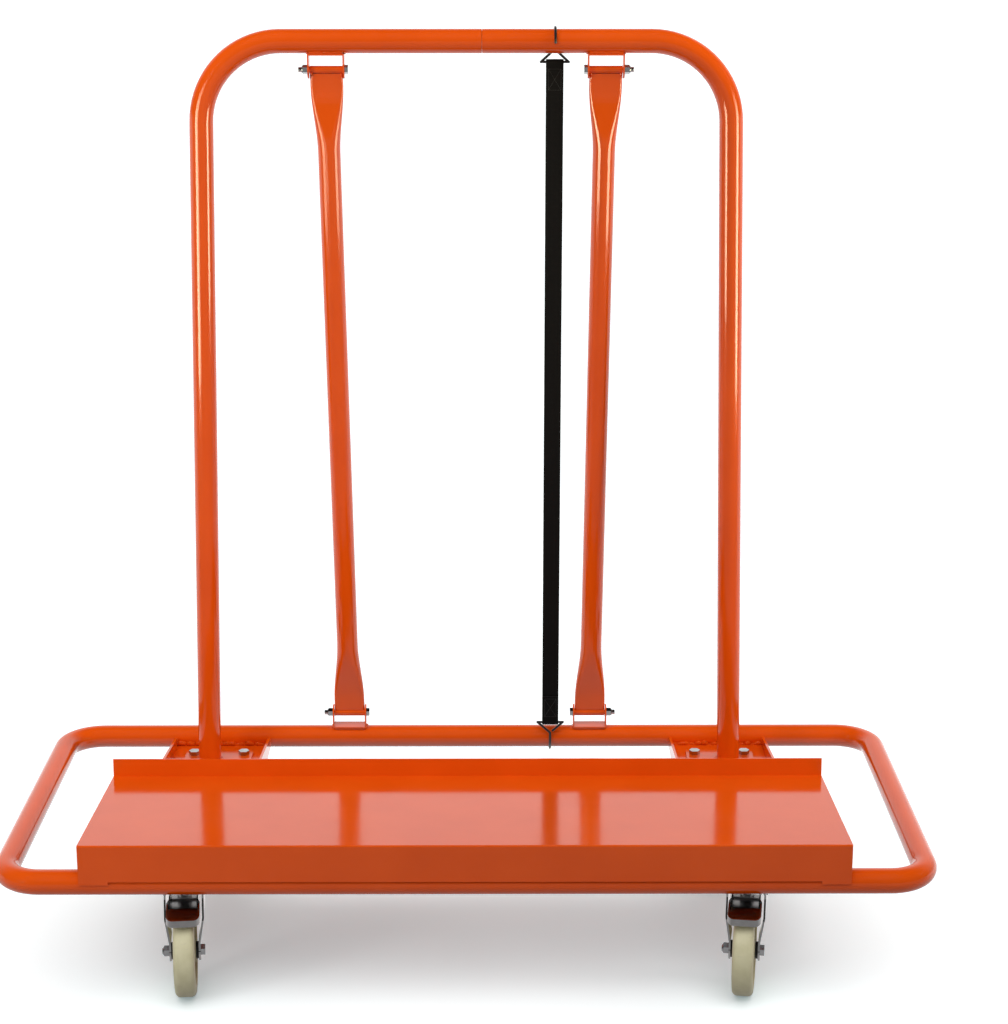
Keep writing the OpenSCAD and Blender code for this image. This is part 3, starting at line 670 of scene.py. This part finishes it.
# Rounded edges catch light on pressed and machined pieces
BEVELS = {
    "deck": 0.6, "cross_channel_left": 0.8, "cross_channel_right": 0.8,
    "foot_plate_left": 0.8, "foot_plate_right": 0.8,
    "top_bracket_left": 0.5, "top_bracket_right": 0.5, "rear_bracket_left": 0.5, "rear_bracket_right": 0.5,
    "pivot_bolts": 0.4, "pivot_nuts": 0.4, "plate_bolts": 0.5, "plate_nuts": 0.5,
}
BEVEL_SEGMENTS = 2
BEVEL_ANGLE = math.radians(40)
for name, width in BEVELS.items():
    bevel = nodes[name].modifiers.new("edge", "BEVEL")
    bevel.width = width * MM
    bevel.segments = BEVEL_SEGMENTS
    bevel.limit_method = "ANGLE"
    bevel.angle_limit = BEVEL_ANGLE
    bevel.use_clamp_overlap = True

# Studio floor, light and background
FLOOR_SIZE = 400
FLOOR_DARK = (0.89, 0.95, 0.955)
FLOOR_LIGHT = (0.91, 0.97, 0.975)
FLOOR_BOUNCE = 0.34
FLOOR_LIFT = grey(0.44)
# Painted shadow: a darker, slightly cooler glow for the floor under the cart, where ambient occlusion is low
FLOOR_LIFT_PAINTED_SHADOW = (0.20, 0.255, 0.265)
COVER_DISTANCE = 0.45
SKY_STRENGTH = 0.19
ROOM_DIM = 0.06
bpy.ops.mesh.primitive_plane_add(size=FLOOR_SIZE)
floor = bpy.context.active_object
floor.name = "floor"


def mirrored(rays, tree):
    """1 for glossy and transmission rays, 0 for the others."""
    node = tree.nodes.new("ShaderNodeMath")
    node.operation = "MAXIMUM"
    tree.links.new(rays.outputs["Is Glossy Ray"], node.inputs[0])
    tree.links.new(rays.outputs["Is Transmission Ray"], node.inputs[1])
    return node.outputs["Value"]


def blend(tree, fac, low, high):
    """low where fac is 0 and high where it is 1; each is a number or a socket."""
    node = tree.nodes.new("ShaderNodeMix")
    tree.links.new(fac, node.inputs[0])
    for socket, value in ((node.inputs[2], low), (node.inputs[3], high)):
        if isinstance(value, (int, float)):
            socket.default_value = value
        else:
            tree.links.new(value, socket)
    return node.outputs[0]


def fade(tree, value, start, stop, low, high):
    """low where the value is at start, high where it is at stop, and even between."""
    tone = span(tree, value, low, high)
    tone.node.inputs["From Min"].default_value = start
    tone.node.inputs["From Max"].default_value = stop
    return tone


def axes(tree, output):
    """The X, Y and Z sockets of a texture coordinate."""
    place = tree.nodes.new("ShaderNodeTexCoord")
    parts = tree.nodes.new("ShaderNodeSeparateXYZ")
    tree.links.new(place.outputs[output], parts.inputs["Vector"])
    return parts.outputs


def floor_material():
    """A floor that shows the cart's shadow on white, deepened by a painted shadow under the cart; light that
    bounces off it meets a greyer tone.
    """
    material, tree, surface = new_material("floor")
    place = coordinates(tree)
    rays = tree.nodes.new("ShaderNodeLightPath")
    seen = ramp(tree, noise(tree, place, 2.0, 3), [(0.3, FLOOR_DARK), (0.7, FLOOR_LIGHT)])
    tone = mix_colour(tree, rays.outputs["Is Camera Ray"], grey(FLOOR_BOUNCE), seen)
    tree.links.new(tone, surface.inputs["Base Color"])
    surface.inputs["Roughness"].default_value = 0.9
    surface.inputs["Specular IOR Level"].default_value = 0.0
    # Painted shadow: ambient occlusion darkens and cools the floor's glow as the camera sees it under the cart,
    # deepening the lamps' shadow and cancelling its orange tint
    painted_shadow_cover = add(tree, "ShaderNodeAmbientOcclusion", Distance=COVER_DISTANCE)
    lift = ramp(tree, painted_shadow_cover.outputs["AO"], [(0.3, FLOOR_LIFT_PAINTED_SHADOW), (1.0, FLOOR_LIFT)])
    glow_with_painted_shadow = mix_colour(tree, rays.outputs["Is Camera Ray"], grey(1.0), lift)
    tree.links.new(glow_with_painted_shadow, surface.inputs["Emission Color"])
    behind = fade(tree, axes(tree, "Object")["Y"], -0.5, 0.3, ROOM_DIM, 1.0)
    glossy = blend(tree, mirrored(rays, tree), 0.0, behind)
    strength = blend(tree, rays.outputs["Is Camera Ray"], glossy, 1.0)
    tree.links.new(strength, surface.inputs["Emission Strength"])
    return material


floor.data.materials.append(floor_material())

world = bpy.data.worlds.new("studio")
bpy.context.scene.world = world
world.use_nodes = True
sky = world.node_tree
background = sky.nodes["Background"]
background.inputs["Color"].default_value = (1, 1, 1, 1)

rays = sky.nodes.new("ShaderNodeLightPath")
direction = axes(sky, "Generated")
backdrop = sky.nodes.new("ShaderNodeMath")
backdrop.operation = "MULTIPLY"
sky.links.new(fade(sky, direction["Y"], 0.1, 0.8, ROOM_DIM, 1.0), backdrop.inputs[0])
sky.links.new(fade(sky, direction["Z"], 0.85, 0.5, ROOM_DIM, 1.0), backdrop.inputs[1])
reflected = blend(sky, mirrored(rays, sky), SKY_STRENGTH, backdrop.outputs["Value"])
sky.links.new(blend(sky, rays.outputs["Is Camera Ray"], reflected, 1.0), background.inputs["Strength"])


def soft_sun(name, azimuth, elevation, strength, angle):
    """A far, even light, not seen in gloss; azimuth 0 is the camera's side and 90 the cart's right."""
    data = bpy.data.lights.new(name, "SUN")
    data.energy = strength
    data.angle = math.radians(angle)
    light = bpy.data.objects.new(name, data)
    bpy.context.scene.collection.objects.link(light)
    a = math.radians(azimuth)
    e = math.radians(elevation)
    back = Vector((math.sin(a) * math.cos(e), -math.cos(a) * math.cos(e), math.sin(e)))
    light.rotation_euler = back.to_track_quat("Z", "Y").to_euler()
    light.visible_glossy = False


def panel_light(name, place, aim, width, height, power):
    """A standing panel that gives light towards its aim and stays out of the picture."""
    data = bpy.data.lights.new(name, "AREA")
    data.shape = "RECTANGLE"
    data.size = width
    data.size_y = height
    data.energy = power
    light = bpy.data.objects.new(name, data)
    bpy.context.scene.collection.objects.link(light)
    light.location = place
    light.rotation_euler = (Vector(place) - Vector(aim)).to_track_quat("Z", "Y").to_euler()
    light.visible_camera = False
    return light


def softbox(name, place, aim, width, height, power, spread):
    """A gridded softbox, which lights what it aims at and isn't seen in gloss."""
    light = panel_light(name, place, aim, width, height, power)
    light.data.spread = math.radians(spread)
    light.visible_glossy = False


CARD_SPREAD = math.radians(46)
CARD_COLOUR = (1.0, 0.88, 0.60)


def card(name, place, aim, width, height, radiance):
    """A warm gridded card, which only shows in gloss as a cream line down each tube."""
    half = CARD_SPREAD / 2
    grid_gain = 1 / (1 - half / math.tan(half))
    light = panel_light(name, place, aim, width, height, math.pi * width * height * radiance / grid_gain)
    light.data.spread = CARD_SPREAD
    light.data.color = CARD_COLOUR
    light.visible_diffuse = False


soft_sun("key", azimuth=-5, elevation=62, strength=1.85, angle=60)
soft_sun("fill", azimuth=175, elevation=35, strength=0.6, angle=60)
softbox("left", (-1.8, -1.4, 1.45), aim=(-0.3, 0.2, 1.3), width=0.42, height=1.9, power=5, spread=70)
softbox("right", (2.1, -0.2, 1.45), aim=(0.3, 0.2, 1.2), width=0.42, height=1.9, power=5.5, spread=70)
card("left_card", (-1.7, -1.3, 1.27), aim=(-0.35, 0.05, 1.57), width=0.95, height=1.6, radiance=22)
card("right_card", (2.0, -0.8, 1.27), aim=(0.06, 0.23, 1.62), width=0.8, height=1.6, radiance=22)

bpy.context.scene.view_settings.view_transform = "Standard"
